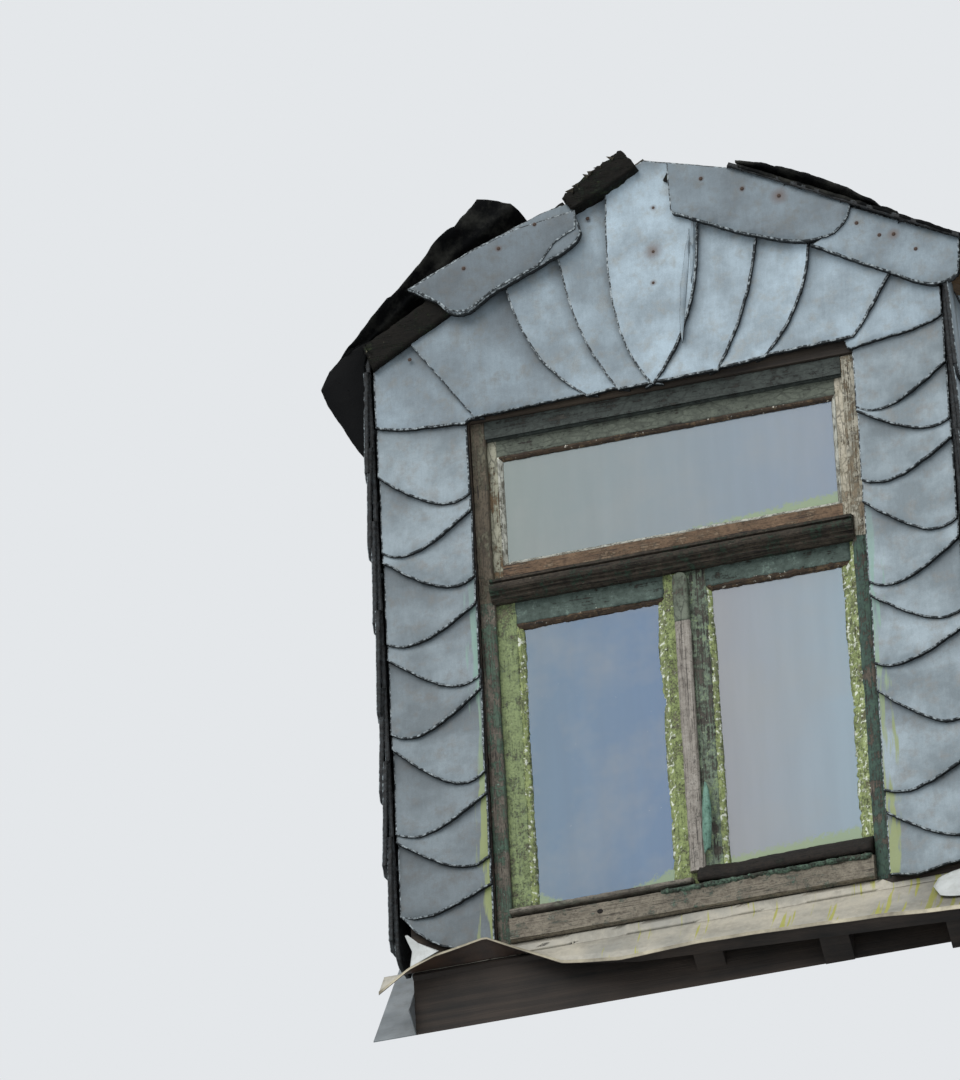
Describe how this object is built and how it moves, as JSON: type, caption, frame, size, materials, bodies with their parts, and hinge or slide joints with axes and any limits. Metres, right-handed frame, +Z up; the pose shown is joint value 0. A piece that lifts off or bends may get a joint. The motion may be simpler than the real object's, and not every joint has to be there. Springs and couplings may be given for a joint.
{
  "type": "dormer window",
  "caption": "Small gabled roof dormer: timber frame, hand-cut slate cladding, transom light over a pair of casements, zinc apron and valleys, hollow and open below",
  "frame": {"origin": "middle of the underside of the front sole, in the plane of the main rafters", "axes": "+X to the right seen from outside, +Y back into the roof, +Z up"},
  "size_m": [1.5662, 1.8503, 2.0973],
  "materials": {
    "structural_timber": "sawn oak, grey-brown",
    "sawn_boards": "rough sawn boards, aged",
    "weathered_boards": "bare weathered boards, mossy",
    "slate": "riven slate, pale blue-grey, chipped edges",
    "zinc": "dull weathered zinc sheet",
    "peeling_paint": "dark green and beige paint, peeling over grey wood",
    "bare_window_wood": "bare brown wood, cracked",
    "roofing_felt": "tarred roofing felt, torn and curled",
    "window_glass": "dusty window glass"
  },
  "bodies": {
    "root": {"apron_board": "sawn_boards", "apron_flashing": "zinc", "barge_board_left": "weathered_boards", "barge_board_right": "weathered_boards", "casement_left": "peeling_paint", "casement_right": "peeling_paint", "cheek_boarding_left": "sawn_boards", "cheek_boarding_right": "sawn_boards", "cheek_frame_left": "structural_timber", "cheek_frame_right": "structural_timber", "cheek_slates_left": "slate", "cheek_slates_right": "slate", "corner_post_left": "structural_timber", "corner_post_right": "structural_timber", "cover_strip": "peeling_paint", "front_board_bottom": "sawn_boards", "front_board_gable": "sawn_boards", "front_board_left": "sawn_boards", "front_board_right": "sawn_boards", "front_slates_left": "slate", "front_slates_right": "slate", "front_sole": "structural_timber", "gable_slates": "slate", "rafters_left": "structural_timber", "rafters_right": "structural_timber", "ridge_board": "structural_timber", "ridge_capping": "zinc", "roof_boarding_left": "sawn_boards", "roof_boarding_right": "sawn_boards", "roof_slates_left": "slate", "roof_slates_right": "slate", "roofing_felt_left": "roofing_felt", "side_flashing_left": "zinc", "side_flashing_right": "zinc", "top_sash": "peeling_paint", "transom": "peeling_paint", "valley_flashing_left": "zinc", "valley_flashing_right": "zinc", "verge_slates_left": "slate", "verge_slates_right": "slate", "wall_plate_left": "structural_timber", "wall_plate_right": "structural_timber", "weather_bars": "bare_window_wood", "window_frame": "peeling_paint", "window_glass": "window_glass", "window_header": "structural_timber", "window_sill": "bare_window_wood", "window_stud_left": "structural_timber", "window_stud_right": "structural_timber"}
  },
  "joints": []
}
